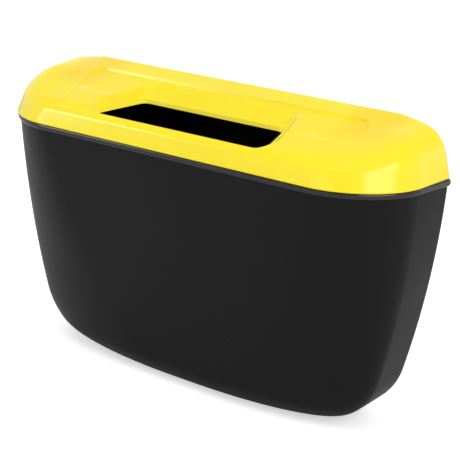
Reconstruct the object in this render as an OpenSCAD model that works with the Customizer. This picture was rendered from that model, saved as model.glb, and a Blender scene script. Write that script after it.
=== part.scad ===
// Car trash bin: a tapered hanging bin with a press-on lid that has a scooped mouth.
// Units are millimetres. The base stands on z = 0 and the front faces -Y.

/* [Bin body] */
// Half the length of the bin wall just under the rim
body_half = 111.3; // [90:0.5:140]
// Front to back depth at the rim
body_depth = 58.7; // [45:0.1:90]
// Height of the bin up to the rim
body_height = 118; // [90:1:160]
// Thickness of the moulded wall
wall = 2; // [1.6:0.1:3]
// How far each end leans in over the full height
end_taper = 19.5; // [5:0.1:30]
// How far the front leans in over the full height
front_taper = 14.5; // [0:0.5:25]
// Share of the front taper that is straight draft
front_straight = 0.61; // [0.3:0.01:1]
// Radius of the big rounded corner between each end and the base
end_round = 24.8; // [10:0.1:40]
// Radius between the front and the base
front_round = 10.7; // [3:0.5:15]
// Radius between the back and the base
back_round = 4; // [2:0.5:8]

/* [Plan corners] */
// Length of the front corner curve along the bin at the rim
corner_x = 36.5; // [15:1:50]
// Depth of the front corner curve at the rim
corner_y = 34; // [15:1:45]
// Length of the front corner curve at the base
base_corner_x = 75; // [20:1:80]
// Depth of the front corner curve at the base
base_corner_y = 17.8; // [10:1:25]
// Fullness of the corner curve at the rim, 2 is an ellipse
corner_power = 1.93; // [1.6:0.01:3]
// Fullness of the corner curve at the base
base_corner_power = 2.1; // [1.6:0.05:3]
// Radius of the two back corners
back_corner = 5; // [3:0.5:10]
// How much longer the bin is at the back corners than at the end of the front corner
body_splay = 2.4; // [0:0.1:3]
// How fast that extra length fades towards the base
splay_fade = 2.3; // [1:0.1:4]
// How much longer the lid is at its back corners
lid_splay = 1.2; // [0:0.1:3]

/* [Rim bead] */
// How far the bead stands out from the wall
bead_out = 1.5; // [0.8:0.1:2.5]
// Height of the bead
bead_tall = 2.4; // [1.8:0.1:5]

/* [Hanging hooks] */
// Distance of each hook from the middle of the bin
hook_x = 58; // [30:1:80]
// Width of a hook
hook_w = 24; // [14:1:40]
// Distance of the top of the hooks below the rim
hook_below = 12; // [6:1:30]
// Gap between the bin and the hook tongue
hook_gap = 6; // [5:0.5:12]
// Thickness of the arm over the gap
hook_arm = 3; // [2:0.1:4]
// Thickness of the tongue
hook_tongue = 2.6; // [2:0.1:4]
// Length of the tongue below the top of the arm
hook_drop = 34; // [20:1:50]
// Outer radius where the arm turns into the tongue
hook_outer_r = 4; // [1:0.5:5]
// Inner radius where the arm turns into the tongue
hook_inner_r = 1.4; // [0.5:0.1:3]
// Radius at the tip of the tongue
hook_tip_r = 0.9; // [0.3:0.1:1.2]

/* [Lid] */
// How far the lid skirt reaches out past the bin wall
lid_reach = 1.2; // [0.8:0.1:3]
// Air left between the lid skirt and the rim
seat_gap = 0.2; // [0.1:0.05:0.5]
// Thickness of the skirt and of the wall round the mouth
lid_wall = 2; // [1.4:0.1:3]
// Thickness of the roof under the floor of the pan
roof_wall = 1.6; // [1.2:0.1:3]
// Height of the skirt at the front
skirt_h = 11.1; // [8:0.1:20]
// Height of the skirt at the back of each end
skirt_end_h = 21; // [10:0.1:26]
// How far the skirt leans in over its height
skirt_lean = 3.7; // [1:0.1:6]
// How far the skirt leans in at the back of each end
skirt_end_lean = 4.7; // [1:0.1:8]
// Share of the front corner that is passed before the skirt starts to rise
rise_start = 0.15; // [0:0.05:0.6]
// Rounding where the skirt turns into the roof at the front
bend_round = 1.2; // [0.5:0.1:3]
// Rounding where the skirt turns into the roof at the back of each end
bend_end_round = 7.9; // [2:0.1:10]
// How much further the rounding reaches down the skirt than over the roof
bend_reach = 1.5; // [1:0.1:2]
// Rise of the roof for each millimetre towards the back
roof_slope = 0.238; // [0.1:0.002:0.4]
// Forward lean of the lid's back wall for each millimetre of height
back_lean = 0.07; // [0:0.01:0.2]
// Distance of the roof plane from the end of the lid at the back edge
roof_back_in = 24.5; // [12:0.5:40]
// Distance of the roof plane from the end of the lid at its front corners
roof_front_in = 38.5; // [20:0.5:60]
// Distance from the front of the lid to the roof's front corners
roof_front_y = 17; // [8:0.5:30]
// How much narrower the roof plane is at the skirt than at its front corners
roof_flare = 5; // [3:0.5:12]
// Width of the small ramp down each end of the roof plane
end_ramp = 1.4; // [0.5:0.1:4]
// Depth of that ramp at the back of the lid
end_drop = 0.5; // [0.2:0.1:1.5]
// Depth of the plug rib that enters the mouth of the bin
plug_deep = 6; // [3:0.5:12]
// Thickness of the plug rib
plug_wall = 1.7; // [1.2:0.1:2.5]
// Clearance between the foot of the plug rib and the leaning bin wall
plug_clear = 0.4; // [0.2:0.05:0.8]

/* [Shallow pan on the roof] */
// Depth of the pan below the roof
pan_deep = 1.3; // [0.5:0.1:3]
// Distance of the pan from the roof's edge at its front corners
pan_front_in = 0.5; // [0.3:0.1:8]
// Distance of the pan from the roof's edge at its back corners
pan_back_in = 7.5; // [4:0.5:20]
// Distance of the pan behind the roof's front corners
pan_fore = 2.8; // [1:0.1:8]
// Distance of the pan from the back of the lid
pan_rear = 12.2; // [6:0.1:18]
// Radius of the pan's front corners
pan_front_r = 7; // [2:0.5:12]
// Radius of the pan's back corners
pan_back_r = 4; // [1:0.5:8]
// Width of the ramp at the pan's front edge
pan_ramp = 2.6; // [0.5:0.1:5]
// Width of the steep wall at the pan's sides and back
pan_step = 0.8; // [0.2:0.1:3]

/* [Mouth] */
// Distance of the mouth from the scoop's side at its back edge
mouth_back_in = 4; // [2:0.5:10]
// Distance of the mouth from the scoop's side at its front edge
mouth_front_in = 6.5; // [3:0.5:12]
// Distance of the mouth behind the front of the scoop
mouth_fore = 1.7; // [1:0.1:4]
// Distance of the mouth from the back of the scoop
mouth_rear = 10; // [4:0.5:14]
// Radius of the mouth's front corners
mouth_front_r = 10; // [2:0.5:15]
// Radius of the mouth's back corners
mouth_back_r = 2.5; // [1:0.5:8]
// Rise of the mouth's edge from front to back
mouth_rise = 1.7; // [0:0.1:4]
// Distance of the scoop from the pan's side at its back edge
scoop_back_in = 37.5; // [20:0.5:50]
// Distance of the scoop from the pan's side at its front
scoop_front_in = 17.5; // [10:0.5:35]
// Distance of the scoop behind the top of the front skirt
scoop_fore = 1; // [0.8:0.1:4]
// Distance of the scoop from the back of the pan
scoop_rear = 1.2; // [1:0.1:6]
// Radius of the scoop's back corners
scoop_back_r = 9; // [2:0.5:15]
// Rounding at the top and the foot of the scoop's wall, as a share of the wall
scoop_round = 0.16; // [0.05:0.01:0.4]
// Ledge between the foot of the scoop and the mouth
scoop_ledge = 0.6; // [0.2:0.1:3]

/* [Hidden] */

corner_steps = 18;
back_steps = 6;
hook_steps = 8;
mouth_steps = 8;
pan_steps = 5;
side_steps = 9;
rear_steps = 7;
bend_steps = 5;
bead_steps = 4;
round_steps = 10;
wall_steps = 6;
roof_steps = 3;
corner_share = 0.92;
lead_in = 0.5;
lip_step = 0.3;
under_step = 0.12;
lid_back_step = 0.3;
edge_share = 0.9;
least_corner = 1;
last = corner_steps + back_steps + 1;
edge_marks = [[0, 0], [pan_steps + 1, 0.27], [side_steps, 0.64], [last - mouth_steps - 1, 1]];
front_draft = front_taper * front_straight;
hook_top = body_height - hook_below;
lid_z = body_height + seat_gap;
lid_back_y = body_depth - lid_back_step;
lid_half = body_half + lid_reach;
back_wall_y = lid_back_y - lid_reach;
base_mid_y = (lid_reach + front_taper + front_round + back_wall_y - back_round) / 2;
plug_inset = lid_reach + wall + plug_clear + front_draft * plug_deep / body_height;
roof_back_half = lid_half - roof_back_in;
roof_front_half = lid_half - roof_front_in;
pan_front_half = roof_front_half - pan_front_in;
pan_back_half = roof_back_half - pan_back_in;
pan_front_y = roof_front_y + pan_fore;
pan_back_y = lid_back_y - pan_rear;
scoop_front_half = pan_front_half - scoop_front_in;
scoop_back_half = pan_back_half - scoop_back_in;
scoop_front_y = skirt_lean + scoop_fore;
scoop_back_y = pan_back_y - scoop_rear;
mouth_front_half = scoop_front_half - mouth_front_in;
mouth_back_half = scoop_back_half - mouth_back_in;
mouth_front_y = scoop_front_y + mouth_fore;
mouth_back_y = scoop_back_y - mouth_rear;

function unit(v) = v / norm(v);
function mix(a, b, t) = a + (b - a) * t;
function smooth(t) = t * t * (3 - 2 * t);
function quarter(r, h) = h >= r ? 0 : r * (1 - sqrt(1 - pow(1 - h / r, 2)));

// Right half of a plan outline from the front corner to the back corner
function half_outline(half, front, back, rx, ry, power, splay, r) = concat(
    [for (i = [0:corner_steps])
        let (a = 90 - 90 * i / corner_steps)
        [half - rx + rx * pow(max(cos(a), 0), 2 / power),
         front + ry - ry * pow(max(sin(a), 0), 2 / power)]],
    [for (i = [0:back_steps])
        let (a = 90 * i / back_steps)
        [half + splay - r + r * cos(a), back - r + r * sin(a)]]);

function mirror_half(h) = concat(h, [for (i = [len(h) - 1:-1:0]) [-h[i][0], h[i][1]]]);

function at_z(outline, z) = [for (p = outline) [p[0], p[1], z]];

// Outline of the bin at height z, moved in by inset
function bin_outline(z, inset) =
    let (t = 1 - z / body_height,
         half = body_half - end_taper * t * t - quarter(end_round, z) - inset,
         front = lid_reach + front_draft * t + (front_taper - front_draft) * t * t
             + quarter(front_round, z) + inset,
         back = back_wall_y - quarter(back_round, z) - inset,
         rx = min(mix(corner_x, base_corner_x, t), corner_share * half),
         room = corner_share * (back - front - back_corner + inset),
         ry = min(mix(corner_y, base_corner_y, t), room))
    mirror_half(half_outline(half, front, back, rx, ry,
        mix(corner_power, base_corner_power, t), body_splay * pow(1 - t, splay_fade), back_corner - inset));

// Side faces of a stack of m rings of n points, closed on itself when looped
function side_faces(n, m, looped) = [
    for (j = [0:looped ? m - 1 : m - 2]) for (i = [0:n - 1])
        let (a = j * n + i, b = j * n + (i + 1) % n, k = (j + 1) % m * n)
        each [[a, k + i, k + (i + 1) % n], [a, k + (i + 1) % n, b]]];

// Solid from a stack of rings with the same number of points and a flat cap at each end
module rings(stack) {
    n = len(stack[0]);
    m = len(stack);
    polyhedron(
        points = [for (r = stack) each r],
        faces = concat(
            [[for (i = [0:n - 1]) i]],
            side_faces(n, m, false),
            [[for (i = [n - 1:-1:0]) (m - 1) * n + i]]),
        convexity = 8);
}

// Solid from rings that run over the outside, through the opening and back along the inside
module ring_loop(stack) {
    polyhedron(
        points = [for (r = stack) each r],
        faces = side_faces(len(stack[0]), len(stack), true),
        convexity = 8);
}

// Points of the round corner at b between its neighbours a and c, in the given steps
function corner(a, b, c, r, steps) =
    let (u = unit(a - b),
         v = unit(c - b),
         half = acos(u * v) / 2,
         mid = b + unit(u + v) * r / sin(half),
         turn = (180 - 2 * half) * sign(u[1] * v[0] - u[0] * v[1]),
         start = b + u * r / tan(half) - mid)
    [for (k = [0:steps])
        let (t = turn * k / steps)
        mid + [start[0] * cos(t) - start[1] * sin(t), start[0] * sin(t) + start[1] * cos(t)]];

// Heights of the wall rings: close together round the base, then evenly up to the bead
wall_levels = concat(
    [for (k = [0:round_steps]) end_round * (1 - cos(90 * k / round_steps))],
    [for (k = [1:wall_steps]) mix(end_round, body_height - bead_tall - lead_in, k / wall_steps)]);

// Bead round the rim: a half round that stands out from the wall
function bead_rings() = [
    for (k = [0:bead_steps])
        let (a = -90 + 180 * k / bead_steps,
             z = body_height - bead_tall / 2 + bead_tall / 2 * sin(a))
        at_z(bin_outline(z, -bead_out * cos(a)), z)];

// Inside rings from the rim down to the floor
function inner_rings() =
    let (levels = concat(wall_levels, body_height))
    [for (k = [len(levels) - 1:-1:0])
        at_z(bin_outline(levels[k], wall), mix(wall, body_height, levels[k] / body_height))];

module bin_shell() {
    rings(concat(
        [for (z = wall_levels) at_z(bin_outline(z, 0), z)],
        bead_rings(),
        inner_rings()));
}

// Side profile of one hook: an arm over the gap and a tongue that hangs down
module hook_profile() {
    root = back_wall_y - wall / 2;
    inner = back_wall_y + hook_gap;
    outer = inner + hook_tongue;
    tip = hook_top - hook_drop;
    arm = hook_top - hook_arm;
    heel = [inner + hook_tongue / 2, tip];
    polygon(concat(
        [[root, hook_top], [root, arm]],
        corner([root, arm], [inner, arm], [inner, tip], hook_inner_r, hook_steps),
        [[inner, tip + 2 * hook_tongue], heel],
        corner(heel, [outer, tip], [outer, hook_top], hook_tip_r, hook_steps),
        corner([outer, tip], [outer, hook_top], [root, hook_top], hook_outer_r, hook_steps)));
}

module hook() {
    translate([-hook_w / 2, 0, 0])
        rotate([90, 0, 90])
            linear_extrude(hook_w)
                hook_profile();
}

module bin() {
    color("#242426")
        translate([0, -base_mid_y, 0])
            union() {
                bin_shell();
                for (side = [-1, 1])
                    translate([side * hook_x, 0, 0])
                        hook();
            }
}

// Outline of the lid skirt at height h above the seam, moved in by the lean and the inset
function skirt_half(h, lean, inset) =
    half_outline(lid_half - inset - lean, lean + inset,
        lid_back_y - back_lean * h - inset, corner_x, corner_y, corner_power, lid_splay,
        max(back_corner - inset, least_corner));

// Share of the skirt's rise from the front to the back corner for point i
function end_share(i) =
    let (start = rise_start * corner_steps)
    smooth(min(max((i - start) / (corner_steps + back_steps / 2 - start), 0), 1));

function bend_h(i) = mix(skirt_h, skirt_end_h, end_share(i));

function bend_r(i) = mix(bend_round, bend_end_round, end_share(i));

function bend_lean(i) = mix(skirt_lean, skirt_end_lean, end_share(i));

function roof_h(y) = skirt_h + roof_slope * (y - skirt_lean);

function mouth_h(y) = skirt_h + mouth_rise * max(y - mouth_front_y, 0) / (mouth_back_y - mouth_front_y);

// Edge of the roof plane: past the mouth to the front corner, then back along the crease
function roof_edge(i, inset) =
    let (back = lid_back_y - back_lean * roof_h(lid_back_y) - inset,
         front = skirt_lean + lip_step + inset,
         turn = mouth_steps + 1)
    i <= turn ? [roof_front_half - roof_flare * (1 - i / turn) - inset, mix(front, roof_front_y, i / turn)]
    : let (s = lookup(i - turn, edge_marks))
      [mix(roof_front_half, roof_back_half, s) - inset, mix(roof_front_y, back, s)];

// Point of the lid's outside at step s, from the foot (0) round the bend (1) to the roof (2)
function lid_point(i, s) =
    let (h = bend_h(i),
         foot = concat(skirt_half(0, 0, 0)[i], 0),
         bend = concat(skirt_half(h, bend_lean(i), 0)[i], h),
         edge = roof_edge(i, 0),
         ramp = mix([0, -under_step, 0], [end_ramp, 0, -end_drop], end_share(i)),
         roof = concat(edge, roof_h(edge[1])) + ramp,
         r = min(bend_r(i), norm(roof - bend) * edge_share),
         p0 = bend + unit(foot - bend) * min(r * bend_reach, norm(foot - bend) * edge_share),
         p2 = bend + unit(roof - bend) * r)
    s < 1 ? (1 - s) * (1 - s) * p0 + 2 * s * (1 - s) * bend + s * s * p2 : mix(p2, roof, s - 1);

// Right half of a tapered opening: front corner, side from the height marked by mark_y, back corner
function opening(front_half, front, back_half, back, front_r, back_r, mark_y) =
    let (f = [front_half, front],
         b = [back_half, back],
         nose = corner([0, front], f, b, front_r, mouth_steps),
         tail = corner(f, b, [0, back], back_r, rear_steps),
         s0 = nose[mouth_steps],
         s1 = tail[0],
         mark = (mark_y - s0[1]) / (s1[1] - s0[1]))
    concat(nose,
        [for (k = [0:side_steps - 1]) mix(s0, s1, mix(mark, 1, k / side_steps))],
        tail);

floor_y = pan_front_y + pan_ramp;

function scoop_line(grow, front) = opening(scoop_front_half + grow, front,
    scoop_back_half + grow, scoop_back_y + grow, mouth_front_r, scoop_back_r, floor_y + pan_step);

function mouth_line(grow, front) = opening(mouth_front_half + grow, front,
    mouth_back_half + grow, mouth_back_y + grow, mouth_front_r, mouth_back_r, floor_y);

// Pan line: it skirts the front of the scoop, then goes round the pan, moved in by the two insets
function pan_line(lip, front_in, side_in) =
    let (nose = opening(scoop_front_half + lip, scoop_front_y - lip / 2, scoop_back_half + lip,
             scoop_back_y, mouth_front_r, scoop_back_r, pan_front_y + front_in),
         f = [pan_front_half - side_in, pan_front_y + front_in],
         b = [pan_back_half - side_in, pan_back_y - side_in],
         bow = corner([0, f[1]], f, b, pan_front_r, pan_steps),
         tail = corner(f, b, [0, b[1]], pan_back_r, rear_steps),
         gap = side_steps - pan_steps - 1)
    concat([for (i = [0:mouth_steps + 1]) nose[i]], bow,
        [for (k = [1:gap - 1]) mix(bow[pan_steps], tail[0], k / gap)], tail);

function floor_drop(i) = i > mouth_steps ? pan_deep : 0;

function lift(half, drop) = [for (p = half) concat(p, roof_h(p[1]) - drop)];

function lift_floor(half) =
    [for (i = [0:last]) concat(half[i], roof_h(half[i][1]) - floor_drop(i))];

function lift_mouth(half, drop) = [for (p = half) concat(p, mouth_h(p[1]) - drop)];

function blend(a, b, t, rise) = [for (i = [0:last]) mix(a[i], b[i], t) + [0, 0, rise]];

function both(half) =
    concat(half, [for (i = [last:-1:0]) [-half[i][0], half[i][1], half[i][2]]]);

// Inner side of the roof and of the bend
function under_edge(i) =
    let (e = roof_edge(i, lid_wall)) concat(e, roof_h(e[1]) - pan_deep - roof_wall);

function under_bend(i) =
    let (h = bend_h(i) - roof_wall - pan_deep - bend_r(i) * bend_reach / 4)
    concat(skirt_half(bend_h(i), bend_lean(i), lid_wall + bend_r(i) / 4)[i], h);

function plug(inset, h) = at_z(mirror_half(skirt_half(0, 0, inset)), h);

module lid() {
    points = [0:last];
    rim = lift_floor(scoop_line(0, scoop_front_y));
    foot = lift_mouth(mouth_line(scoop_ledge, mouth_front_y - scoop_ledge / 2), 0);
    edge = mouth_line(0, mouth_front_y);
    color("#ffe31a")
        translate([0, -base_mid_y, lid_z])
            ring_loop(concat(
                [plug(0, 0)],
                [for (k = [0:bend_steps]) both([for (i = points) lid_point(i, k / bend_steps)])],
                [for (k = [1:roof_steps]) both([for (i = points) lid_point(i, 1 + k / roof_steps)])],
                [both(lift([for (i = points) roof_edge(i, 0)], 0)),
                 both(lift(pan_line(2 * lip_step, 0, 0), 0)),
                 both(lift_floor(pan_line(lip_step, pan_ramp, pan_step))),
                 both(rim),
                 both(blend(rim, foot, scoop_round, scoop_round)),
                 both(blend(rim, foot, 1 - scoop_round, -scoop_round / 2)),
                 both(foot),
                 both(lift_mouth(edge, 0)),
                 both(lift_mouth(edge, lid_wall)),
                 both(lift_mouth(mouth_line(scoop_ledge, mouth_front_y - under_step), lid_wall)),
                 both(lift(scoop_line(lid_wall / 2, mouth_front_y - 2 * under_step), pan_deep + roof_wall)),
                 both([for (i = points) under_edge(i)]),
                 both([for (i = points) under_bend(i)]),
                 plug(plug_inset + plug_wall, skirt_h / 2),
                 plug(plug_inset + plug_wall, -plug_deep),
                 plug(plug_inset + lead_in, -plug_deep),
                 plug(plug_inset, 2 * lead_in - plug_deep),
                 plug(plug_inset, skirt_h * (plug_inset - lid_wall) / skirt_lean),
                 plug(lid_wall, 0)]));
}

bin();
lid();
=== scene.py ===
"""A hanging litter bin for a car: a satin black bucket with a glossy yellow press-on lid."""
import math

import bpy
import numpy as np
from mathutils import Matrix, Vector


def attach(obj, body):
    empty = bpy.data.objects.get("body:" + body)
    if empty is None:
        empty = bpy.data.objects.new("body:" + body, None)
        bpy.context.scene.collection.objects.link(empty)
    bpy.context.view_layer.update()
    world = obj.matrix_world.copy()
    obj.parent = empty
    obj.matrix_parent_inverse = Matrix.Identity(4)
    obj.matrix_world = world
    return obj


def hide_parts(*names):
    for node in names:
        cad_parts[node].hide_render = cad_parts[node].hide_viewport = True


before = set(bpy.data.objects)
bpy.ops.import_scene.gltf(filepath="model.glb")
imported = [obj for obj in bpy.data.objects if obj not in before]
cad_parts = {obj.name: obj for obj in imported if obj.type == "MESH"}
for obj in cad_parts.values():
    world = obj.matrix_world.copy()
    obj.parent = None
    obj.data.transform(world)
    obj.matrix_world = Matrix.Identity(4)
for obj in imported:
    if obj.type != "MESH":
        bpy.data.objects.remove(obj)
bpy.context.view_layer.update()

bl_info = {
    "name": "Hanging litter bin",
    "version": (1, 0, 0),
    "blender": (4, 5, 0),
    "location": "3D View > Sidebar > Litter bin",
    "description": "Makes a moulded hanging bin with a scooped lid, and a studio for it",
    "category": "Add Mesh",
}


def length(label, default, about):
    """A size in metres that the sidebar shows in the scene's units."""
    return bpy.props.FloatProperty(
        name=label, description=about, default=default, precision=5, unit="LENGTH"
    )


def ratio(label, default, about):
    return bpy.props.FloatProperty(name=label, description=about, default=default, precision=3)


def count(label, default, about):
    return bpy.props.IntProperty(name=label, description=about, default=default, min=1)


def colour(label, code, about):
    return bpy.props.FloatVectorProperty(
        name=label, description=about, default=linear(code), size=4, subtype="COLOR", min=0, max=1
    )


def linear(code):
    """An sRGB hex colour as linear RGBA."""
    parts = [int(code[k:k + 2], 16) / 255 for k in (1, 3, 5)]
    light = [c / 12.92 if c <= 0.04045 else ((c + 0.055) / 1.055) ** 2.4 for c in parts]
    return (*light, 1.0)


class BucketSizes(bpy.types.PropertyGroup):
    """Sizes of the black bucket"""

    half: length("Half length", 0.1113, "Half the length of the wall under the rim")
    depth: length("Depth", 0.0587, "Front to back depth at the rim")
    height: length("Height", 0.118, "Height up to the rim")
    wall: length("Wall", 0.002, "Thickness of the moulded wall")
    end_taper: length("End taper", 0.0195, "How far each end leans in")
    front_taper: length("Front taper", 0.0145, "How far the front leans in")
    straight_share: ratio("Straight share", 0.61, "Share of the front taper that is draft")
    end_round: length("End rounding", 0.0248, "Radius between each end and the base")
    front_round: length("Front rounding", 0.0107, "Radius between the front and the base")
    back_round: length("Back rounding", 0.004, "Radius between the back and the base")
    corner_x: length("Corner length", 0.0365, "Length of the front corner curve at the rim")
    corner_y: length("Corner depth", 0.034, "Depth of the front corner curve at the rim")
    base_corner_x: length("Base corner length", 0.075, "Length of the corner curve at the base")
    base_corner_y: length("Base corner depth", 0.0178, "Depth of the corner curve at the base")
    power: ratio("Corner fullness", 1.93, "Fullness of the corner curve at the rim")
    base_power: ratio("Base corner fullness", 2.1, "Fullness of the corner curve at the base")
    back_corner: length("Back corner", 0.005, "Radius of the two back corners")
    splay: length("End splay", 0.0024, "How much longer the bin is at the back corners")
    splay_fade: ratio("Splay fade", 2.3, "How fast that extra length fades towards the base")
    bead_out: length("Bead reach", 0.0015, "How far the rim bead stands out")
    bead_tall: length("Bead height", 0.0024, "Height of the rim bead")


class HookSizes(bpy.types.PropertyGroup):
    """Sizes of the two hanging hooks"""

    spacing: length("Spacing", 0.116, "Distance between the two hooks")
    width: length("Width", 0.024, "Width of a hook")
    top: length("Top", 0.106, "Height of the hooks above the base")
    gap: length("Gap", 0.006, "Gap between the wall and the tongue")
    arm: length("Arm", 0.003, "Thickness of the arm")
    tongue: length("Tongue", 0.0026, "Thickness of the tongue")
    drop: length("Drop", 0.034, "Length of the tongue")
    outer_r: length("Outer radius", 0.004, "Outer radius of the bend")
    inner_r: length("Inner radius", 0.0014, "Inner radius of the bend")
    tip_r: length("Tip radius", 0.0009, "Radius of the tip")
    copies: count("Hooks", 2, "Number of hooks")


class LidSizes(bpy.types.PropertyGroup):
    """Sizes of the yellow lid"""

    half: length("Half length", 0.1125, "Half the length of the skirt at its foot")
    seat_gap: length("Seat gap", 0.0002, "Air between the skirt and the rim")
    wall: length("Wall", 0.002, "Thickness of the skirt")
    roof_wall: length("Roof wall", 0.0016, "Thickness under the pan floor")
    skirt_h: length("Skirt height", 0.0111, "Height of the skirt at the front")
    skirt_end_h: length("Skirt end height", 0.021, "Height of the skirt at the back of each end")
    skirt_lean: length("Skirt lean", 0.0037, "How far the skirt leans in at the front")
    skirt_end_lean: length("Skirt end lean", 0.0047, "Lean at the back of each end")
    rise_start: ratio("Rise start", 0.15, "Share of the corner before the skirt rises")
    splay: length("End splay", 0.0012, "How much longer the lid is at its back corners")
    bend_round: length("Front bend", 0.0065, "Reach of the front bend over the roof")
    bend_down: length("Front bend down", 0.0042, "Reach of the front bend down the skirt")
    front_fall: length("Front fall", 0.0009, "How much lower the roof lies at the front bend")
    fall_reach: length("Fall reach", 0.006, "Distance over which the roof falls to the bend")
    bend_end_round: length("End bend", 0.011, "Rounding over the skirt at each end")
    slope: ratio("Roof slope", 0.238, "Rise of the roof towards the back")
    back_lean: ratio("Back lean", 0.07, "Forward lean of the back wall")
    roof_back_half: length("Roof back half", 0.0862, "Half length of the roof plane at its back")
    roof_front_half: length("Roof front half", 0.0722, "Half length at its front corners")
    roof_front_y: length("Roof front", 0.017, "Distance from the front to its front corners")
    roof_flare: length("Roof flare", 0.005, "How much narrower the roof plane is at the skirt")
    end_ramp: length("End ramp", 0.0014, "Width of the small ramp down each end of the roof")
    end_drop: length("End drop", 0.0003, "Depth of that ramp at the back")
    plug_deep: length("Plug depth", 0.006, "Depth of the plug rib")
    plug_wall: length("Plug wall", 0.0017, "Thickness of the plug rib")
    plug_inset: length("Plug inset", 0.00405, "Distance of the plug rib from the skirt's foot")


class PanSizes(bpy.types.PropertyGroup):
    """Sizes of the shallow pan and the mouth in the lid"""

    deep: length("Pan depth", 0.0013, "Depth of the pan below the roof")
    front_half: length("Pan front half", 0.0726, "Half length of the pan's front edge")
    back_half: length("Pan back half", 0.0819, "Half length of the pan's back edge")
    front_y: length("Pan front", 0.0212, "Distance from the front to the pan")
    back_y: length("Pan back", 0.0462, "Distance from the front to the pan's back edge")
    front_r: length("Pan front radius", 0.009, "Radius of the front corners")
    back_r: length("Pan back radius", 0.005, "Radius of the back corners")
    ramp: length("Pan ramp", 0.0045, "Width of the ramp at the front edge")
    step: length("Pan step", 0.0008, "Width of the wall at the sides and back")
    mouth_back_half: length("Mouth back half", 0.0415, "Half width of the mouth at its back")
    mouth_front_half: length("Mouth front half", 0.0510, "Half width of the mouth at its front")
    mouth_front_y: length("Mouth front", 0.0048, "Distance from the front to the mouth")
    mouth_back_y: length("Mouth back", 0.035, "Distance from the front to the mouth's back")
    mouth_front_r: length("Mouth front radius", 0.006, "Radius of the front corners")
    mouth_back_r: length("Mouth back radius", 0.004, "Radius of the back corners")
    mouth_dip: length("Mouth dip", 0.0008, "Dip of the mouth's edge at the front")
    mouth_rise: length("Mouth rise", 0.0017, "Rise of the mouth's edge to the back")
    wall_tall: length("Mouth wall", 0.0017, "Height of the lid's wall seen in the mouth")
    wall_draft: length("Mouth wall draft", 0.0024, "Lean of that wall at its front corners")
    wall_back_draft: length("Mouth wall back draft", 0.0016, "Lean at the back corners")
    scoop_back_half: length("Scoop back half", 0.043, "Half width of the scoop at its back")
    scoop_front_half: length("Scoop front half", 0.0555, "Half width of the scoop at its front")
    scoop_front_y: length("Scoop front", 0.00445, "Distance from the front to the scoop")
    scoop_front_r: length("Scoop front radius", 0.009, "Radius of the scoop's front corners")
    scoop_back_y: length("Scoop back", 0.045, "Distance from the front to the scoop's back")
    scoop_back_r: length("Scoop back radius", 0.009, "Radius of the scoop's back corners")
    ledge: length("Ledge", 0.0006, "Ledge between the scoop's foot and the mouth")


class Finishes(bpy.types.PropertyGroup):
    """Colours and gloss of the two plastics"""

    black: colour("Black", "#0A0A0C", "Colour of the moulded bucket")
    dust: colour("Dust", "#8C8A86", "Colour of the few dust specks")
    yellow: colour("Yellow", "#FFEB1E", "Colour of the lid")
    # Deep yellow: the random tone of the flow, and painted shade along each end's crease
    flow_and_shade_yellow: colour("Deep yellow", "#FFDA08", "Colour where the lid's plastic is thicker")
    black_rough: ratio("Black roughness", 0.40, "Roughness of the bucket")
    bead_rough: ratio("Bead roughness", 0.16, "Roughness of the rim bead")
    yellow_rough: ratio("Yellow roughness", 0.17, "Roughness of the lid")


# How finely the curves are drawn: the steps of the outline's front corner and back corner, of the
# mouth's and the pan's front corners, of the mouth's side and of its back corner
FINE = 3
CORNER, BACK, MOUTH, PAN, SIDE, REAR = (FINE * k for k in (18, 6, 8, 5, 9, 7))
# The outline's last column, and how many columns at the front corner's end cover the straight end
LAST = CORNER + BACK + 1
SPREAD = 8
# The columns of the roof's crease, and the share of its length that each one has reached
CREASE_COLUMNS = (MOUTH + 1, CORNER - SPREAD, CORNER + 5, LAST)
CREASE_SHARES = (0, 0.62, 0.94, 1)
# Steps of the bend on each side of it, and rings on the land between the bend and the pan
BEND = 10
LAND = 8
# A narrow margin round an edge of the lid, and a gap that only keeps two rings apart
LIP = 0.0003
UNDER = 0.00012
# Largest share of a face that the bend over the skirt, or a fillet at one side, takes up
BEND_ROOM = 0.9
FILLET_ROOM = 0.45
# Edges that turn more than this keep their crease in the shading
SHARP = math.radians(38)
# The bucket and its hooks are one moulding and share one material
BLACK = "Satin black moulded polypropylene"


def mix(a, b, t):
    return a + (b - a) * t


def unit(v):
    return v / np.linalg.norm(v)


def smooth(t):
    """The share t with a level start and a level end."""
    return t * t * (3 - 2 * t)


def quarter(r, h):
    """Inset of a quarter round of radius r at height h above its foot."""
    return 0.0 if h >= r else r * (1 - math.sqrt(1 - (1 - h / r) ** 2))


def half_outline(half, front, back, rx, ry, power, splay, r):
    """Right half of a plan outline from the front corner to the back corner."""
    points = []
    for i in range(CORNER + 1):
        a = math.radians(90 - 90 * i / CORNER)
        c, s = max(math.cos(a), 0), max(math.sin(a), 0)
        points.append((half - rx + rx * c ** (2 / power), front + ry - ry * s ** (2 / power)))
    for i in range(BACK + 1):
        a = math.radians(90 * i / BACK)
        points.append((half + splay - r + r * math.cos(a), back - r + r * math.sin(a)))
    return np.array(points)


def at_height(outline, z):
    return np.column_stack([outline, np.full(len(outline), z)])


def both_sides(half):
    """A closed ring from its right half."""
    return np.concatenate([half, half[::-1] * np.array([-1, 1, 1])])


def corner(a, b, c, r, steps):
    """Points of the round corner at b between its neighbours a and c."""
    a, b, c = (np.array(p, float) for p in (a, b, c))
    u, v = unit(a - b), unit(c - b)
    half = math.acos(float(u @ v)) / 2
    middle = b + unit(u + v) * r / math.sin(half)
    turn = (math.pi - 2 * half) * math.copysign(1, u[1] * v[0] - u[0] * v[1])
    start = b + u * r / math.tan(half) - middle
    points = []
    for k in range(steps + 1):
        t = turn * k / steps
        points.append(middle + np.array([
            start[0] * math.cos(t) - start[1] * math.sin(t),
            start[0] * math.sin(t) + start[1] * math.cos(t)]))
    return np.array(points)


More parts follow.
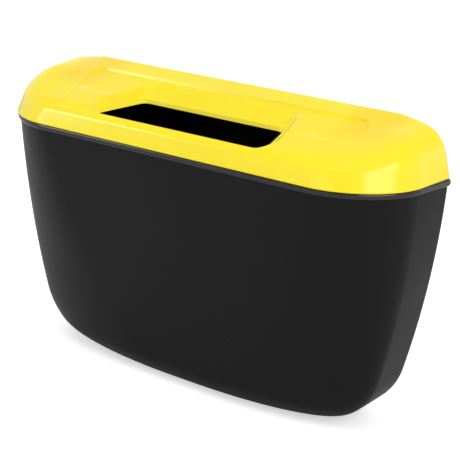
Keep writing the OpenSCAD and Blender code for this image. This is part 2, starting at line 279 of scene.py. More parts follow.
def rounded(stack, radii, steps):
    """Rings of a closed profile, rounded at each ring that has a radius, column by column."""
    out = []
    for k, (ring, r, n) in enumerate(zip(stack, radii, steps)):
        if n == 0:
            out.append(ring)
            continue
        to_last = stack[k - 1] - ring
        to_next = stack[(k + 1) % len(stack)] - ring
        last_far = np.linalg.norm(to_last, axis=1)[:, None]
        next_far = np.linalg.norm(to_next, axis=1)[:, None]
        u, v = to_last / last_far, to_next / next_far
        half = np.arccos(np.clip((u * v).sum(1), -1, 1))[:, None] / 2
        room = FILLET_ROOM * np.minimum(last_far, next_far)
        reach = np.minimum(r / np.tan(np.maximum(half, 1e-3)), room)
        first, final = ring + u * reach, ring + v * reach
        for j in range(n + 1):
            t = j / n
            out.append((1 - t) ** 2 * first + 2 * t * (1 - t) * ring + t * t * final)
    return out


def ring_mesh(name, rings, looped=False):
    """A closed mesh through the rings, with flat ends unless it closes on itself."""
    m, n = len(rings), len(rings[0])
    points = np.concatenate(rings)
    faces = []
    for j in range(m if looped else m - 1):
        low, high = j * n, (j + 1) % m * n
        for i in range(n):
            k = (i + 1) % n
            faces.append((low + i, low + k, high + k, high + i))
    if not looped:
        faces.append(tuple(range(n - 1, -1, -1)))
        faces.append(tuple((m - 1) * n + i for i in range(n)))
    return outward_mesh(name, points, faces)


def outward_mesh(name, points, faces):
    """A mesh whose faces point out of its solid."""
    volume = 0.0
    for f in faces:
        for k in range(1, len(f) - 1):
            volume += float(np.dot(points[f[0]], np.cross(points[f[k]], points[f[k + 1]])))
    if volume < 0:
        faces = [f[::-1] for f in faces]
    mesh = bpy.data.meshes.new(name)
    mesh.from_pydata(points.tolist(), [], faces)
    mesh.validate()
    mesh.polygons.foreach_set("use_smooth", [True] * len(mesh.polygons))
    mesh.set_sharp_from_angle(angle=SHARP)
    mesh.update()
    piece = bpy.data.objects.new(name, mesh)
    bpy.context.scene.collection.objects.link(piece)
    return piece


def plain_copy(piece, name):
    """The piece with its modifiers worked out, as a plain mesh that holds no modifier."""
    shaped = piece.evaluated_get(bpy.context.evaluated_depsgraph_get())
    mesh = bpy.data.meshes.new_from_object(shaped)
    mesh.name = name
    done = bpy.data.objects.new(name, mesh)
    bpy.context.scene.collection.objects.link(done)
    bpy.data.objects.remove(piece)
    return done


def even_shading(piece, name):
    """Flat faces stay flat in the gloss, and the small rounds beside them carry the turn."""
    weight = piece.modifiers.new("Even shading", "WEIGHTED_NORMAL")
    weight.mode = "FACE_AREA"
    weight.keep_sharp = True
    return plain_copy(piece, name)


def add_node(tree, kind, settings=None, links=None):
    """One node with its settings, its values and its links, given as input: value or socket."""
    node = tree.nodes.new(kind)
    for key, value in (settings or {}).items():
        setattr(node, key, value)
    for key, value in (links or {}).items():
        socket = node.inputs[key]
        if isinstance(value, bpy.types.NodeSocket):
            tree.links.new(value, socket)
        else:
            socket.default_value = value
    return node


# Materials

def noise(tree, where, scale, detail):
    """Noise over the object's own metres: the scale is how many features go in a metre."""
    return add_node(tree, "ShaderNodeTexNoise", links={
        "Vector": where, "Scale": scale, "Detail": detail}).outputs["Fac"]


def remap(tree, value, low, high, start, end, soft=False):
    """The value's range from low to high turned into the range from start to end."""
    kind = "SMOOTHSTEP" if soft else "LINEAR"
    return add_node(tree, "ShaderNodeMapRange", {"interpolation_type": kind}, {
        "Value": value, "From Min": low, "From Max": high,
        "To Min": start, "To Max": end}).outputs["Result"]


def math_node(tree, operation, first, second=0.0):
    """The result of one math node."""
    return add_node(tree, "ShaderNodeMath", {"operation": operation}, {
        0: first, 1: second}).outputs[0]


def moulded_black(name, rough, gloss=0.2):
    """Polypropylene from a finely eroded mould: satin, nearly black, with a soft sheen, a grain
    under half a millimetre and a few specks of dust."""
    finish = bpy.context.scene.bin_finish
    material = bpy.data.materials.new(name)
    material.use_nodes = True
    tree = material.node_tree
    shader = tree.nodes["Principled BSDF"]
    where = add_node(tree, "ShaderNodeTexCoord").outputs["Object"]
    # Mould grain of about 0.4 mm
    grain = noise(tree, where, 2500.0, 2.0)
    # Handling haze in patches of about 30 mm
    haze = noise(tree, where, 33.0, 3.0)
    rough_map = remap(tree, haze, 0.35, 0.65, rough - 0.03, rough + 0.04)
    # Dust specks of about 0.3 mm, some 9 mm apart
    dust = add_node(tree, "ShaderNodeTexVoronoi", links={"Vector": where, "Scale": 110.0})
    speck = remap(tree, dust.outputs["Distance"], 0.016, 0.024, 0.5, 0.0)
    tint = add_node(tree, "ShaderNodeMix", {"data_type": "RGBA"})
    tree.links.new(speck, tint.inputs[0])
    tint.inputs[6].default_value = finish.black
    tint.inputs[7].default_value = finish.dust
    bump = add_node(tree, "ShaderNodeBump", links={
        "Strength": 0.12, "Distance": 0.0001, "Height": grain})
    tree.links.new(tint.outputs[2], shader.inputs["Base Color"])
    tree.links.new(rough_map, shader.inputs["Roughness"])
    tree.links.new(bump.outputs["Normal"], shader.inputs["Normal"])
    shader.inputs["IOR"].default_value = 1.49
    shader.inputs["Specular IOR Level"].default_value = gloss
    return material


def painted_shade_inside(name):
    """Painted shade: the underside of the lid, seen only through the mouth, where the photograph
    shows black, is coloured near black in place of its yellow.
    """
    material = bpy.data.materials.new(name)
    material.use_nodes = True
    tree = material.node_tree
    shader = tree.nodes["Principled BSDF"]
    where = add_node(tree, "ShaderNodeTexCoord").outputs["Object"]
    # Release marks of the mould in patches of about 15 mm
    marks = noise(tree, where, 70.0, 3.0)
    rough_map = remap(tree, marks, 0.3, 0.7, 0.7, 0.85)
    tree.links.new(rough_map, shader.inputs["Roughness"])
    # Near black on what is yellow plastic: painted shade
    shader.inputs["Base Color"].default_value = linear("#080806")
    shader.inputs["Specular IOR Level"].default_value = 0.05
    return material


def moulded_yellow(name):
    """Polypropylene from a polished mould: glossy, with faint flow waves in the gloss, and a
    slightly deeper yellow painted along the crease at each end as shade."""
    finish = bpy.context.scene.bin_finish
    material = bpy.data.materials.new(name)
    material.use_nodes = True
    tree = material.node_tree
    shader = tree.nodes["Principled BSDF"]
    where = add_node(tree, "ShaderNodeTexCoord").outputs["Object"]
    # Flow of the melt in streaks of about 25 mm
    flow = noise(tree, where, 40.0, 3.0)
    tint = add_node(tree, "ShaderNodeMix", {"data_type": "RGBA"})
    shade = remap(tree, flow, 0.35, 0.65, 0.0, 0.25)
    # Painted shade: a deeper yellow along the crease at each end, 60 to 100 mm from the middle,
    # for the darker reflection there
    place = add_node(tree, "ShaderNodeSeparateXYZ", links={0: where}).outputs
    sideways = math_node(tree, "ABSOLUTE", place["X"])
    inner = remap(tree, sideways, 0.058, 0.076, 0.0, 0.8, soft=True)
    outer = remap(tree, sideways, 0.088, 0.099, 1.0, 0.0, soft=True)
    rear = remap(tree, place["Y"], -0.022, -0.004, 0.0, 1.0, soft=True)
    crease_shade = math_node(tree, "MULTIPLY", math_node(tree, "MULTIPLY", inner, outer), rear)
    tree.links.new(math_node(tree, "MAXIMUM", shade, crease_shade), tint.inputs[0])
    tint.inputs[6].default_value = finish.yellow
    tint.inputs[7].default_value = finish.flow_and_shade_yellow
    rough_map = remap(tree, flow, 0.3, 0.7, finish.yellow_rough - 0.02, finish.yellow_rough + 0.03)
    # Sink and flow waves of about 12 mm, some hundredths of a millimetre high
    waves = noise(tree, where, 80.0, 1.0)
    bump = add_node(tree, "ShaderNodeBump", links={
        "Strength": 0.15, "Distance": 0.0002, "Height": waves})
    tree.links.new(tint.outputs[2], shader.inputs["Base Color"])
    tree.links.new(rough_map, shader.inputs["Roughness"])
    tree.links.new(bump.outputs["Normal"], shader.inputs["Normal"])
    shader.inputs["IOR"].default_value = 1.5
    return material


# The bucket

def frame_shift():
    """How far behind the lid's front seam the part's own origin lies."""
    b, lid = bpy.context.scene.bin_bucket, bpy.context.scene.bin_lid
    step = lid.half - b.half
    return (step + b.front_taper + b.front_round + back_wall() - b.back_round) / 2


def lid_back():
    return bpy.context.scene.bin_bucket.depth - LIP


def back_wall():
    b, lid = bpy.context.scene.bin_bucket, bpy.context.scene.bin_lid
    return lid_back() - (lid.half - b.half)


def bucket_outline(z, inset):
    """Right half of the bucket's outline at height z, moved in by inset."""
    b, lid = bpy.context.scene.bin_bucket, bpy.context.scene.bin_lid
    t = 1 - z / b.height
    draft = b.front_taper * b.straight_share
    lean = draft * t + (b.front_taper - draft) * t * t
    half = b.half - b.end_taper * t * t - quarter(b.end_round, z) - inset
    front = (lid.half - b.half) + lean + quarter(b.front_round, z) + inset
    back = back_wall() - quarter(b.back_round, z) - inset
    rx = min(mix(b.corner_x, b.base_corner_x, t), 0.92 * half)
    ry = mix(b.corner_y, b.base_corner_y, t)
    power = mix(b.power, b.base_power, t)
    splay = b.splay * (1 - t) ** b.splay_fade
    outline = half_outline(half, front, back, rx, ry, power, splay, b.back_corner - inset)
    return outline - np.array([0, frame_shift()])


class MakeBucket(bpy.types.Operator):
    """Make the black bucket with its draft, its big lower corners and its open inside"""

    bl_idname = "litter.bucket"
    bl_label = "Bucket"

    def execute(self, context):
        b = context.scene.bin_bucket
        rounds, walls = 24, 20
        turns = [math.pi / 2 * k / rounds for k in range(rounds + 1)]
        levels = [b.end_round * (1 - math.cos(turn)) for turn in turns]
        levels += [mix(b.end_round, b.height, k / walls) for k in range(1, walls + 1)]
        rings = [both_sides(at_height(bucket_outline(z, 0), z)) for z in levels]
        for z in reversed(levels):
            inner = at_height(bucket_outline(z, b.wall), mix(b.wall, b.height, z / b.height))
            rings.append(both_sides(inner))
        piece = ring_mesh("bucket", rings)
        piece.data.materials.append(moulded_black(BLACK, context.scene.bin_finish.black_rough))
        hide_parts("bin")
        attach(piece, "root")
        return {"FINISHED"}


def bead_tree():
    """Sweeps an oval section along the rim: what follows a path is made by nodes."""
    tree = bpy.data.node_groups.new("Rim bead", "GeometryNodeTree")
    face = tree.interface
    face.new_socket("Rim", in_out="INPUT", socket_type="NodeSocketGeometry")
    for label, kind in (("Reach", "NodeSocketFloat"), ("Height", "NodeSocketFloat"),
                        ("Steps", "NodeSocketInt"), ("Material", "NodeSocketMaterial")):
        face.new_socket(label, in_out="INPUT", socket_type=kind)
    face.new_socket("Bead", in_out="OUTPUT", socket_type="NodeSocketGeometry")
    given = add_node(tree, "NodeGroupInput").outputs
    path = add_node(tree, "GeometryNodeMeshToCurve", links={"Mesh": given["Rim"]})
    level = add_node(tree, "GeometryNodeSetCurveNormal", {"mode": "Z_UP"}, {
        "Curve": path.outputs["Curve"]})
    section = add_node(tree, "GeometryNodeCurvePrimitiveCircle", {"mode": "RADIUS"}, {
        "Resolution": given["Steps"], "Radius": 1.0})
    size = add_node(tree, "ShaderNodeCombineXYZ", links={
        "X": math_node(tree, "DIVIDE", given["Height"], 2.0), "Y": given["Reach"], "Z": 1.0})
    oval = add_node(tree, "GeometryNodeTransform", links={
        "Geometry": section.outputs["Curve"], "Scale": size.outputs["Vector"]})
    swept = add_node(tree, "GeometryNodeCurveToMesh", links={
        "Curve": level.outputs["Curve"], "Profile Curve": oval.outputs["Geometry"]})
    shaded = add_node(tree, "GeometryNodeSetShadeSmooth", links={
        "Geometry": swept.outputs["Mesh"]})
    real = add_node(tree, "GeometryNodeRealizeInstances", links={
        "Geometry": shaded.outputs["Geometry"]})
    coat = add_node(tree, "GeometryNodeSetMaterial", links={
        "Geometry": real.outputs["Geometry"], "Material": given["Material"]})
    add_node(tree, "NodeGroupOutput", links={"Bead": coat.outputs["Geometry"]})
    return tree


def set_inputs(modifier, values):
    """Sets a node modifier's named inputs by their sockets' identifiers."""
    for item in modifier.node_group.interface.items_tree:
        if item.in_out == "INPUT" and item.name in values:
            modifier[item.identifier] = values[item.name]


class MakeBead(bpy.types.Operator):
    """Make the bead that runs round the bucket's rim"""

    bl_idname = "litter.bead"
    bl_label = "Rim bead"

    def execute(self, context):
        b = context.scene.bin_bucket
        gloss = context.scene.bin_finish.bead_rough
        z = b.height - b.bead_tall / 2
        ring = both_sides(at_height(bucket_outline(z, 0), z))
        n = len(ring)
        mesh = bpy.data.meshes.new("rim_path")
        mesh.from_pydata(ring.tolist(), [(i, (i + 1) % n) for i in range(n)], [])
        path = bpy.data.objects.new("rim_path", mesh)
        context.scene.collection.objects.link(path)
        sweep = path.modifiers.new("Rim bead", "NODES")
        sweep.node_group = bead_tree()
        set_inputs(sweep, {
            "Reach": b.bead_out, "Height": b.bead_tall, "Steps": 20,
            "Material": moulded_black("Polished black moulded polypropylene", gloss, 0.6)})
        piece = plain_copy(path, "rim_bead")
        if not piece.data.polygons:
            raise RuntimeError("the rim bead came out empty")
        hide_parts("bin")
        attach(piece, "root")
        return {"FINISHED"}


def hook_tree():
    """Sets out the hooks along the back: what repeats is made by nodes."""
    tree = bpy.data.node_groups.new("Hook row", "GeometryNodeTree")
    face = tree.interface
    face.new_socket("Hook", in_out="INPUT", socket_type="NodeSocketGeometry")
    for label, kind in (("Spacing", "NodeSocketFloat"), ("Hooks", "NodeSocketInt"),
                        ("Material", "NodeSocketMaterial")):
        face.new_socket(label, in_out="INPUT", socket_type=kind)
    face.new_socket("Row", in_out="OUTPUT", socket_type="NodeSocketGeometry")
    given = add_node(tree, "NodeGroupInput").outputs
    gaps = math_node(tree, "SUBTRACT", given["Hooks"], 1.0)
    reach = math_node(tree, "MULTIPLY", gaps, given["Spacing"])
    start = add_node(tree, "ShaderNodeCombineXYZ", links={
        "X": math_node(tree, "MULTIPLY", reach, -0.5)})
    stride = add_node(tree, "ShaderNodeCombineXYZ", links={"X": given["Spacing"]})
    row = add_node(tree, "GeometryNodeMeshLine", {"mode": "OFFSET"}, {
        "Count": given["Hooks"], "Start Location": start.outputs[0], "Offset": stride.outputs[0]})
    placed = add_node(tree, "GeometryNodeInstanceOnPoints", links={
        "Points": row.outputs["Mesh"], "Instance": given["Hook"]})
    real = add_node(tree, "GeometryNodeRealizeInstances", links={
        "Geometry": placed.outputs["Instances"]})
    coat = add_node(tree, "GeometryNodeSetMaterial", links={
        "Geometry": real.outputs["Geometry"], "Material": given["Material"]})
    add_node(tree, "NodeGroupOutput", links={"Row": coat.outputs["Geometry"]})
    return tree


class MakeHooks(bpy.types.Operator):
    """Make the hooks that the bin hangs by, on its flat back"""

    bl_idname = "litter.hooks"
    bl_label = "Hooks"

    def execute(self, context):
        h, b = context.scene.bin_hooks, context.scene.bin_bucket
        root, inner = back_wall() - b.wall / 2, back_wall() + h.gap
        outer, tip, arm = inner + h.tongue, h.top - h.drop, h.top - h.arm
        heel = (inner + h.tongue / 2, tip)
        profile = np.concatenate([
            [(root, h.top), (root, arm)],
            corner((root, arm), (inner, arm), (inner, tip), h.inner_r, 10),
            [(inner, tip + 2 * h.tongue), heel],
            corner(heel, (outer, tip), (outer, h.top), h.tip_r, 8),
            corner((outer, tip), (outer, h.top), (root, h.top), h.outer_r, 12)])
        profile[:, 0] -= frame_shift()
        rings = [np.column_stack([np.full(len(profile), x), profile])
                 for x in (-h.width / 2, h.width / 2)]
        hook = ring_mesh("hook", rings)
        edge = hook.modifiers.new("Moulded edge", "BEVEL")
        edge.width, edge.segments, edge.limit_method = 0.0004, 3, "ANGLE"
        edge.angle_limit = math.radians(40)
        lay_out = hook.modifiers.new("Hook row", "NODES")
        lay_out.node_group = hook_tree()
        set_inputs(lay_out, {
            "Spacing": h.spacing, "Hooks": h.copies, "Material": bpy.data.materials[BLACK]})
        piece = plain_copy(hook, "hooks")
        if not piece.data.polygons:
            raise RuntimeError("the hooks came out empty")
        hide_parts("bin")
        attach(piece, "root")
        return {"FINISHED"}


# The lid. Heights count from its foot, and y counts back from the front of its skirt.

def spot(i):
    """Place of column i along the outline: the columns are spread over the straight ends too."""
    return np.interp(i, [0, CORNER - SPREAD, CORNER + SPREAD, LAST], [0, CORNER, CORNER + 1, LAST])


def skirt_half(h, lean, inset):
    """Right half of the skirt's outline at height h, moved in by the lean and the inset."""
    lid, b = bpy.context.scene.bin_lid, bpy.context.scene.bin_bucket
    back = lid_back() - lid.back_lean * h - inset
    line = half_outline(lid.half - inset - lean, lean + inset, back, b.corner_x, b.corner_y,
                        b.power, lid.splay, max(b.back_corner - inset, 0.001))
    marks = np.arange(LAST + 1)
    spots = [spot(i) for i in marks]
    return np.column_stack([np.interp(spots, marks, line[:, k]) for k in (0, 1)])


def end_share(i):
    """Share of the skirt's rise from the front to the back corner."""
    start = bpy.context.scene.bin_lid.rise_start * CORNER
    t = min(max((spot(i) - start) / (CORNER + BACK / 2 - start), 0), 1)
    return smooth(t)


def bend_lean(i):
    lid = bpy.context.scene.bin_lid
    return mix(lid.skirt_lean, lid.skirt_end_lean, end_share(i))


def bend_height(i):
    lid = bpy.context.scene.bin_lid
    return mix(lid.skirt_h - lid.front_fall, lid.skirt_end_h, end_share(i))


def roof_height(y):
    lid = bpy.context.scene.bin_lid
    fall = lid.front_fall * max(1 - (y - lid.skirt_lean) / lid.fall_reach, 0) ** 2
    return lid.skirt_h + lid.slope * (y - lid.skirt_lean) - fall


def mouth_height(y):
    lid, pan = bpy.context.scene.bin_lid, bpy.context.scene.bin_pan
    share = max(y - pan.mouth_front_y, 0) / (pan.mouth_back_y - pan.mouth_front_y)
    return lid.skirt_h + mix(-pan.mouth_dip, pan.mouth_rise, share)


def roof_edge(i, inset):
    """Edge of the roof plane: past the mouth to the front corner, then back along the crease."""
    lid = bpy.context.scene.bin_lid
    back = lid_back() - lid.back_lean * roof_height(lid_back()) - inset
    front = lid.skirt_lean + LIP + inset
    turn = MOUTH + 1
    if i <= turn:
        return np.array([lid.roof_front_half - lid.roof_flare * (1 - i / turn) - inset,
                         mix(front, lid.roof_front_y, i / turn)])
    s = np.interp(i, CREASE_COLUMNS, CREASE_SHARES)
    return np.array([mix(lid.roof_front_half, lid.roof_back_half, s) - inset,
                     mix(lid.roof_front_y, back, s)])


def bend_points():
    """The sharp bend over the skirt at each column: its point, the direction down the skirt, and
    how far its rounding reaches over the roof and down the skirt."""
    lid = bpy.context.scene.bin_lid
    feet = skirt_half(0, 0, 0)
    tops = np.array([np.append(skirt_half(bend_height(i), bend_lean(i), 0)[i], bend_height(i))
                     for i in range(LAST + 1)])
    down = np.array([unit(np.append(f, 0) - t) for f, t in zip(feet, tops)])
    share = np.array([end_share(i) for i in range(LAST + 1)])
    over = mix(lid.bend_round, lid.bend_end_round, share)
    under = np.minimum(mix(lid.bend_down, lid.bend_end_round, share), BEND_ROOM * tops[:, 2])
    return tops, down, over, under


def roof_point(i):
    """Point of the roof's edge that column i of the side reaches."""
    lid = bpy.context.scene.bin_lid
    edge = roof_edge(i, 0)
    front, end = np.array([0, -UNDER, 0]), np.array([lid.end_ramp, 0, -lid.end_drop])
    return np.append(edge, roof_height(edge[1])) + mix(front, end, end_share(i))


def pressed(point, t, low, across):
    """Where a point of a sharp bend lies once the bend is rounded over these two reaches,
    when it lies at the share t of the reach on its own side."""
    return point + ((1 - min(t, 1)) / 2) ** 2 * (low + across)


def soften(ring):
    """Rounds the front bend: moves the points near it, by how near they are."""
    front = CORNER - SPREAD + 1
    tops, down, over, under = (np.concatenate([v[:1], v[:front]]) for v in bend_points())
    tops[0, 0] = 0
    spans = tops[1:] - tops[:-1]
    slope = bpy.context.scene.bin_lid.slope
    out = []
    for point in ring:
        t = np.clip(((point - tops[:-1]) * spans).sum(1) / (spans * spans).sum(1), 0, 1)
        near = tops[:-1] + spans * t[:, None]
        far = np.linalg.norm(near - point, axis=1)
        k = int(np.argmin(far))
        roof_reach = mix(over[k], over[k + 1], t[k])
        skirt_reach = mix(under[k], under[k + 1], t[k])
        low = unit(mix(down[k], down[k + 1], t[k]))
        level = np.cross((0, 0, 1), unit(spans[k]))
        roofward = unit(level + np.array([0, 0, slope * level[1]]))
        away = point - near[k]
        reach = roof_reach if away @ roofward > away @ low else skirt_reach
        out.append(pressed(point, far[k] / reach, low * skirt_reach, roofward * roof_reach))
    return np.array(out)


def lid_side(steps):
    """Rings from the foot of the skirt round its bend to the edge of the roof plane. The front
    is rounded by how near each point is to the bend, the ends column by column."""
    tops, down, over, under = bend_points()
    corner_end, least_slant = CORNER - SPREAD, 0.25
    sharp, own = [], []
    for i in range(LAST + 1):
        top, roof = tops[i], roof_point(i)
        along = unit(tops[min(i + 1, LAST)] - tops[max(i - 1, 0)])
        out = unit(roof - top)
        slant = 1.0
        if i < corner_end:
            slant = max(math.sqrt(max(1 - float(out @ along) ** 2, 0)), least_slant)
        room = BEND_ROOM * np.linalg.norm(roof - top)
        reach = min(over[i] / slant, room)
        low, across = down[i] * under[i], out * min(over[i], room)
        column, rounds = [], []
        for k in range(steps, 0, -1):
            point = top + low * k / steps
            column.append(point)
            rounds.append(pressed(point, k / steps, low, across))
        for k in range(steps + 1):
            point = top + out * reach * k / steps
            column.append(point)
            rounds.append(pressed(point, reach * k / steps / np.linalg.norm(across), low, across))
        for k in (1 / 3, 2 / 3, 1):
            point = mix(top + out * reach, roof, k)
            column.append(point)
            rounds.append(point)
        sharp.append(column)
        own.append(rounds)
    sharp, own = np.array(sharp), np.array(own)
    turn = MOUTH + 1
    share = np.clip((np.arange(LAST + 1) - turn) / (corner_end - turn), 0, 1)[:, None]
    return [mix(soften(sharp[:, k]), own[:, k], smooth(share)) for k in range(sharp.shape[1])]


def opening(front_half, front, back_half, back, front_r, back_r, mark_y):
    """Right half of a tapered opening: front corner, side from the given mark, back corner."""
    f, b = (front_half, front), (back_half, back)
    nose = corner((0, front), f, b, front_r, MOUTH)
    tail = corner(f, b, (0, back), back_r, REAR)
    s0, s1 = nose[MOUTH], tail[0]
    mark = (mark_y - s0[1]) / (s1[1] - s0[1])
    side = [mix(s0, s1, mix(mark, 1, k / SIDE)) for k in range(SIDE)]
    return np.concatenate([nose, side, tail])


def scoop_line(grow, front):
    p = bpy.context.scene.bin_pan
    return opening(p.scoop_front_half + grow, front,
                   p.scoop_back_half + grow, p.scoop_back_y + grow,
                   p.scoop_front_r, p.scoop_back_r, p.front_y + p.ramp + p.step)


def mouth_line(grow, front):
    p = bpy.context.scene.bin_pan
    return opening(p.mouth_front_half + grow, front,
                   p.mouth_back_half + grow, p.mouth_back_y + grow,
                   p.mouth_front_r, p.mouth_back_r, p.front_y + p.ramp)


def pan_line(lip, front_in, side_in):
    """Round the front of the scoop, then round the pan, moved in by the two insets."""
    p = bpy.context.scene.bin_pan
    nose = opening(p.scoop_front_half + lip, p.scoop_front_y - lip / 2, p.scoop_back_half + lip,
                   p.scoop_back_y, p.scoop_front_r, p.scoop_back_r, p.front_y + front_in)
    f = (p.front_half - side_in, p.front_y + front_in)
    b = (p.back_half - side_in, p.back_y - side_in)
    bow = corner((0, f[1]), f, b, p.front_r, PAN)
    tail = corner(f, b, (0, b[1]), p.back_r, REAR)
    gap = SIDE - PAN - 1
    side = [mix(bow[PAN], tail[0], k / gap) for k in range(1, gap)]
    return np.concatenate([nose[:MOUTH + 2], bow, side, tail])


def lift(half, drop):
    return np.array([(x, y, roof_height(y) - drop) for x, y in half])


def lift_floor(half):
    """The half ring on the roof in front of the mouth, and on the pan's floor beside it."""
    deep = bpy.context.scene.bin_pan.deep
    return np.concatenate([lift(half[:MOUTH + 1], 0), lift(half[MOUTH + 1:], deep)])


def lift_mouth(half, drop):
    return np.array([(x, y, mouth_height(y) - drop) for x, y in half])


class MakeLid(bpy.types.Operator):
    """Make the lid: leaning skirt, hipped roof, shallow pan, scoop, mouth and plug rib"""

    bl_idname = "litter.lid"
    bl_label = "Lid"

    def execute(self, context):
        lid, pan, b = context.scene.bin_lid, context.scene.bin_pan, context.scene.bin_bucket
        rim = lift_floor(scoop_line(0, pan.scoop_front_y))
        foot = lift_mouth(mouth_line(pan.ledge, pan.mouth_front_y - pan.ledge / 3), 0)
        edge = mouth_line(0, pan.mouth_front_y)
        mouth_deep = pan.mouth_back_y - pan.mouth_front_y
        back_share = (edge[:, 1:] - pan.mouth_front_y) / mouth_deep
        draft = mix(pan.wall_draft, pan.wall_back_draft, back_share)
        wall_foot = edge - np.concatenate([draft, pan.ledge * back_share], axis=1)
        plug_out, plug_in, lead_in = lid.plug_inset, lid.plug_inset + lid.plug_wall, 0.0005
        stack, radii, steps = [], [], []

        # Each ring comes with the radius and the steps of the fillet along it
        def add(ring, r=0.0, n=0):
            stack.append(ring)
            radii.append(r)
            steps.append(n)

        add(at_height(skirt_half(0, 0, 0), 0), 0.0007, 5)
        side = lid_side(BEND)
        for ring in side[:-1]:
            add(ring)
        add(side[-1], 0.003, 5)
        ridge = lift([roof_edge(i, 0) for i in range(LAST + 1)], 0)
        brow = lift(pan_line(2 * LIP, 0, 0), 0)
        add(soften(ridge), 0.001, 4)
        for k in range(1, LAND):
            add(soften(mix(ridge, brow, k / LAND)))
        add(soften(brow), 0.0006, 4)
        add(soften(lift_floor(pan_line(LIP, pan.ramp, pan.step))), 0.0010, 4)
        add(soften(rim), 0.0026, 8)
        add(soften(foot), 0.0010, 5)
        add(soften(lift_mouth(edge, 0)), 0.0005, 4)
        add(soften(lift_mouth(wall_foot, pan.wall_tall)), 0.0004, 3)
        mouth_at = len(stack)
        add(soften(lift_mouth(wall_foot, lid.wall)))
        add(lift_mouth(mouth_line(pan.ledge, pan.mouth_front_y - UNDER), lid.wall))
        below = pan.deep + lid.roof_wall
        add(lift(scoop_line(lid.wall / 2, pan.mouth_front_y - 2 * UNDER), below))
        add(lift([roof_edge(i, lid.wall) for i in range(LAST + 1)], below))
        bends = []
        for i in range(LAST + 1):
            r = mix(lid.bend_round, lid.bend_end_round, end_share(i))
            h = bend_height(i)
            low = h - below - r / 4
            bends.append(np.append(skirt_half(h, bend_lean(i), lid.wall + r / 4)[i], low))
        add(np.array(bends))
        add(at_height(skirt_half(0, 0, plug_in), lid.skirt_h / 2))
        add(at_height(skirt_half(0, 0, plug_in), -lid.plug_deep))
        plug_at = len(stack)
        add(at_height(skirt_half(0, 0, plug_out + lead_in), -lid.plug_deep))
        add(at_height(skirt_half(0, 0, plug_out), 2 * lead_in - lid.plug_deep))
        plug_top = lid.skirt_h * (plug_out - lid.wall) / lid.skirt_lean
        add(at_height(skirt_half(0, 0, plug_out), plug_top))
        add(at_height(skirt_half(0, 0, lid.wall), 0))
        shift = np.array([0, -frame_shift(), b.height + lid.seat_gap])
        rings = [both_sides(ring + shift) for ring in rounded(stack, radii, steps)]
        shape = ring_mesh("lid_shape", rings, True)
        # The second material, the painted shade of the underside, starts below the mouth's wall
        # and ends at the plug rib
        round_the_mouth = sum(n + 1 for n in steps[:mouth_at]) - 1
        to_the_plug = sum(n + 1 for n in steps[:plug_at])
        for face in shape.data.polygons:
            band = face.index // len(rings[0])
            face.material_index = int(round_the_mouth <= band < to_the_plug)
        piece = even_shading(shape, "scooped_lid")
        piece.data.materials.append(moulded_yellow("Glossy yellow moulded polypropylene"))
        piece.data.materials.append(painted_shade_inside("Dark underside of the lid"))
        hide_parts("lid")
        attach(piece, "root")
        return {"FINISHED"}


# The studio

def softbox(name, azimuth, elevation, far, wide, tall, power, aim=(0, 0, 0.08)):
    """A square lamp that looks at the bin from the given angles, in degrees."""
    lamp = bpy.data.lights.new(name, "AREA")
    lamp.shape = "RECTANGLE"
    lamp.size, lamp.size_y = wide, tall
    lamp.energy = power
    a, e = math.radians(azimuth), math.radians(elevation)
    way = Vector((math.cos(e) * math.sin(a), -math.cos(e) * math.cos(a), math.sin(e)))
    holder = bpy.data.objects.new(name, lamp)
    holder.location = Vector(aim) + way * far
    holder.rotation_euler = way.to_track_quat("Z", "Y").to_euler()
    bpy.context.scene.collection.objects.link(holder)
    return holder


def white_where_seen(tree, fill):
    """Strength 1 where the camera, glass or level gloss looks, and the fill elsewhere."""
    ray = add_node(tree, "ShaderNodeLightPath").outputs
    direct = math_node(tree, "MAXIMUM", ray["Is Camera Ray"], ray["Is Transmission Ray"])
    # The white background ends where the ceiling starts, at about 30 degrees up
    way = add_node(tree, "ShaderNodeSeparateXYZ", links={
        0: add_node(tree, "ShaderNodeTexCoord").outputs["Generated"]})
    wall = remap(tree, way.outputs["Z"], 0.3, 0.6, 1.0, 0.0, soft=True)
    gloss = math_node(tree, "MULTIPLY", ray["Is Glossy Ray"], wall)
    seen = math_node(tree, "MAXIMUM", direct, gloss)
    return remap(tree, seen, 0.0, 1.0, fill, 1.0)


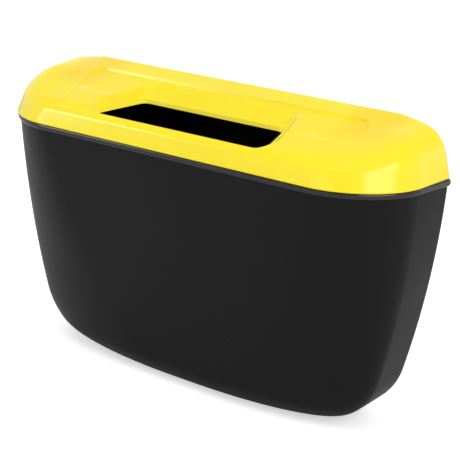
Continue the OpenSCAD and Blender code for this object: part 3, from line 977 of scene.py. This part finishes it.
class SetStage(bpy.types.Operator):
    """Set the pale floor, the soft lamps and the camera"""

    bl_idname = "litter.stage"
    bl_label = "Stage"

    def execute(self, context):
        scene = context.scene
        scene.view_settings.view_transform = "Standard"
        world = bpy.data.worlds.new("Pale room")
        world.use_nodes = True
        tree = world.node_tree
        back = tree.nodes["Background"]
        back.inputs["Color"].default_value = (1, 1, 1, 1)
        tree.links.new(white_where_seen(tree, 0.53), back.inputs["Strength"])
        scene.world = world

        mesh = bpy.data.meshes.new("floor")
        far = 4.0
        corners = [(-far, -far, 0), (far, -far, 0), (far, far, 0), (-far, far, 0)]
        mesh.from_pydata(corners, [], [(0, 1, 2, 3)])
        floor = bpy.data.objects.new("floor", mesh)
        scene.collection.objects.link(floor)
        paper = bpy.data.materials.new("White paper sweep")
        paper.use_nodes = True
        tree = paper.node_tree
        shader = tree.nodes["Principled BSDF"]
        shader.inputs["Base Color"].default_value = linear("#E8E8E8")
        shader.inputs["Roughness"].default_value = 0.9
        shader.inputs["Specular IOR Level"].default_value = 0.1
        shader.inputs["Emission Color"].default_value = (1, 1, 1, 1)
        seen = add_node(tree, "ShaderNodeLightPath").outputs["Is Camera Ray"]
        glow = math_node(tree, "MULTIPLY", seen, 0.55)
        tree.links.new(glow, shader.inputs["Emission Strength"])
        mesh.materials.append(paper)

        overhead = softbox("overhead_softbox", 0, 78, 1.3, 1.1, 1.1, 4.8)
        overhead.visible_glossy = False
        softbox("right_softbox", 69, 35, 1.2, 0.9, 0.66, 5.6, (0.092, -0.025, 0.124))
        softbox("left_softbox", -48, 26, 1.2, 0.2, 0.5, 1.7, (-0.098, -0.022, 0.126))
        softbox("front_softbox", -4, 26, 1.4, 0.6, 0.2, 0.3, (0.04, -0.035, 0.124))
        rear = softbox("rear_softbox", 195, 22, 1.4, 0.8, 0.6, 4.0)
        rear.visible_glossy = False
        softbox("back_softbox", 141, 4, 1.2, 0.3, 0.5, 0.25, (0.11, 0, 0.125))

        # The photograph's camera: azimuth, elevation and roll
        a, e, roll = math.radians(36.34), math.radians(18.14), math.radians(2.19)
        right = Vector((math.cos(a), math.sin(a), 0))
        ahead = Vector((-math.sin(a) * math.cos(e), math.cos(a) * math.cos(e), -math.sin(e)))
        up = right.cross(ahead)
        turned_right = right * math.cos(roll) + up * math.sin(roll)
        turned_up = up * math.cos(roll) - right * math.sin(roll)
        axes = Matrix((turned_right, turned_up, -ahead)).transposed().to_4x4()
        lens = bpy.data.cameras.new("camera")
        lens.sensor_width = 36
        lens.lens = 108.43
        lens.shift_x, lens.shift_y = 0.0151, -0.0034
        lens.clip_start = 0.01
        camera = bpy.data.objects.new("camera", lens)
        camera.matrix_world = Matrix.Translation((0.3748, -0.50255, 0.2793)) @ axes
        scene.collection.objects.link(camera)
        scene.camera = camera
        return {"FINISHED"}


STEPS = (MakeBucket, MakeBead, MakeHooks, MakeLid, SetStage)


class LitterBinPanel(bpy.types.Panel):
    """Lists the steps that make the bin"""

    bl_idname = "VIEW3D_PT_litter_bin"
    bl_label = "Litter bin"
    bl_space_type = "VIEW_3D"
    bl_region_type = "UI"
    bl_category = "Litter bin"

    def draw(self, context):
        for group in ("bin_bucket", "bin_hooks", "bin_lid", "bin_pan", "bin_finish"):
            box = self.layout.box()
            for name in getattr(context.scene, group).bl_rna.properties.keys():
                if name not in ("rna_type", "name"):
                    box.prop(getattr(context.scene, group), name)
        for step in STEPS:
            self.layout.operator(step.bl_idname)


GROUPS = {"bin_bucket": BucketSizes, "bin_hooks": HookSizes, "bin_lid": LidSizes,
          "bin_pan": PanSizes, "bin_finish": Finishes}


def register():
    for kind in (*GROUPS.values(), *STEPS, LitterBinPanel):
        bpy.utils.register_class(kind)
    for name, kind in GROUPS.items():
        setattr(bpy.types.Scene, name, bpy.props.PointerProperty(type=kind))


def unregister():
    for name in GROUPS:
        delattr(bpy.types.Scene, name)
    for kind in (LitterBinPanel, *reversed(STEPS), *reversed(GROUPS.values())):
        bpy.utils.unregister_class(kind)


def main():
    register()
    bpy.ops.litter.bucket()
    bpy.ops.litter.bead()
    bpy.ops.litter.hooks()
    bpy.ops.litter.lid()
    bpy.ops.litter.stage()


if __name__ == "__main__":
    main()
